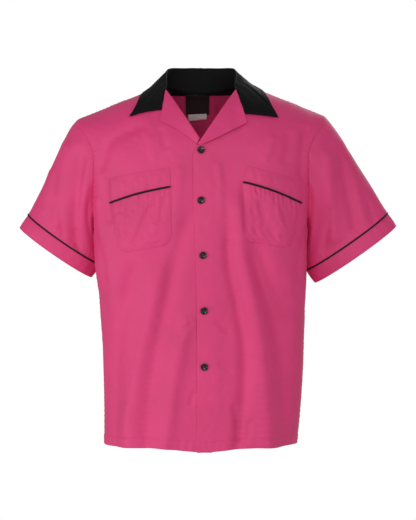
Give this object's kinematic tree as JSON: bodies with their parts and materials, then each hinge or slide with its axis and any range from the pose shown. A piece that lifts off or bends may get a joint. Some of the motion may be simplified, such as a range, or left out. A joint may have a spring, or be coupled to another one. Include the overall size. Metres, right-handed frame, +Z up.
{
  "type": "bowling shirt",
  "caption": "Short-sleeved bowling shirt in pink cloth with a black camp collar, turned-out lapels, piped patch pockets, piped cuff bands and black buttons, filled out and hollow.",
  "frame": {"origin": "middle of the neck between the two shoulder seams at the base of the neck, where the wearer carries the shirt", "axes": "+Z up towards the collar, -Y out of the buttoned front, +X to the wearer's left"},
  "size_m": [0.7948, 0.2849, 0.8032],
  "materials": {
    "pink_cloth": "matt shirting",
    "black_cloth": "matt shirting",
    "black_piping": "satin piping",
    "black_button": "glossy",
    "black_label": "woven satin",
    "white_tab": "woven tape"
  },
  "bodies": {
    "root": {"back": "pink_cloth", "button_1": "black_button", "button_2": "black_button", "button_3": "black_button", "button_4": "black_button", "button_5": "black_button", "collar": "black_cloth", "cuff_left": "pink_cloth", "cuff_piping_left": "black_piping", "cuff_piping_right": "black_piping", "cuff_right": "pink_cloth", "front_left": "pink_cloth", "front_right": "pink_cloth", "label": "black_label", "lapel_left": "pink_cloth", "lapel_right": "pink_cloth", "pocket_band_left": "pink_cloth", "pocket_band_right": "pink_cloth", "pocket_left": "pink_cloth", "pocket_piping_left": "black_piping", "pocket_piping_right": "black_piping", "pocket_right": "pink_cloth", "size_tab": "white_tab", "sleeve_left": "pink_cloth", "sleeve_right": "pink_cloth"}
  },
  "joints": []
}
